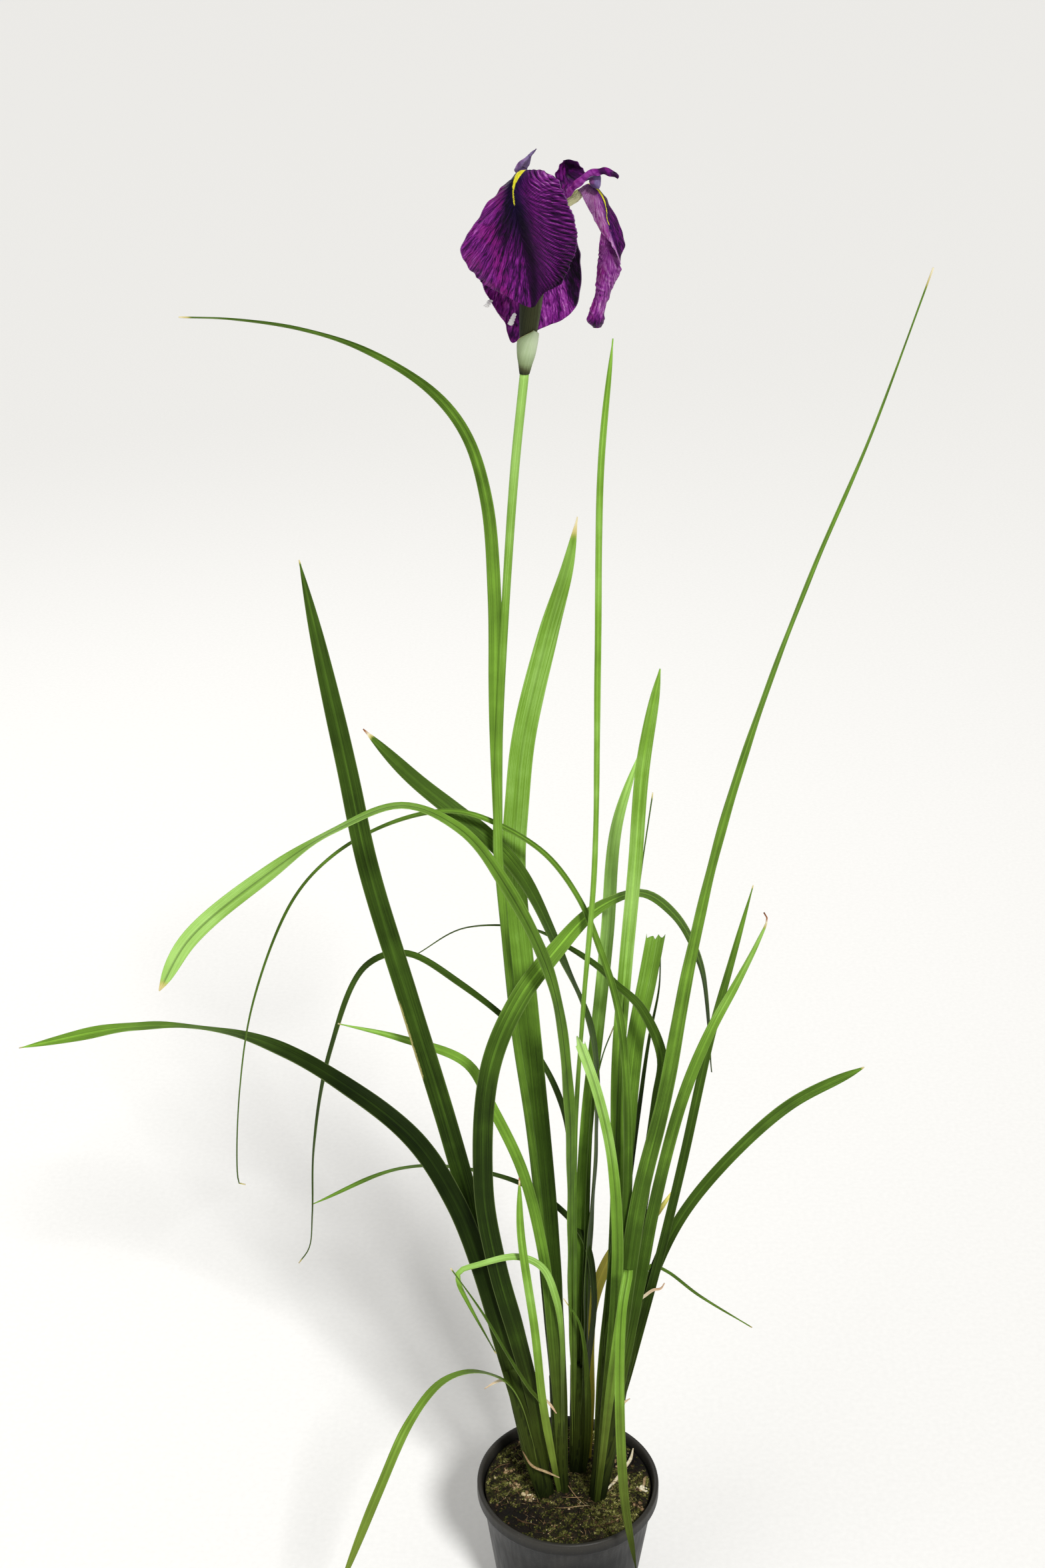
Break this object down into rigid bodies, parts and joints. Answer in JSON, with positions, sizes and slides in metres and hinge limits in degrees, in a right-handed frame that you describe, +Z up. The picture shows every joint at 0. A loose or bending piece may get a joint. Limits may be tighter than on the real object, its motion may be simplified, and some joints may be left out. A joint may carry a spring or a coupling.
{
  "type": "potted Japanese iris",
  "caption": "Japanese iris in flower: a rhizome at the soil with fans of strap leaves and a tall stem with a purple bloom, in a round plastic pot.",
  "frame": {"origin": "the middle of the pot's underside, on the surface it stands on", "axes": "+Z up along the pot's axis, +X to the viewer's right, +Y away from the viewer of the picture"},
  "size_m": [0.5327, 0.2168, 0.9691],
  "materials": {
    "pot_plastic": "satin black plastic",
    "mossy_soil": "damp peat under moss",
    "rhizome_bark": "brown fibrous skin",
    "leaf": "satin green with fine lengthwise veins",
    "dead_leaf": "dry yellow leaf",
    "pale_green": "satin pale green",
    "petal": "soft purple with darker veins",
    "style": "soft lilac"
  },
  "bodies": {
    "root": {"pot": "pot_plastic", "soil": "mossy_soil", "rhizome": "rhizome_bark", "left_shoot": "leaf", "flowering_shoot": "leaf", "centre_shoot": "leaf", "right_shoot": "leaf", "dead_leaf": "dead_leaf", "flower_tube": "pale_green", "spathe_inner": "pale_green", "spathe_outer": "pale_green", "fall_front": "petal", "fall_right": "petal", "fall_back": "petal", "standard_back": "petal", "standard_right": "petal", "standard_left": "petal", "style_arms": "style"}
  },
  "joints": []
}
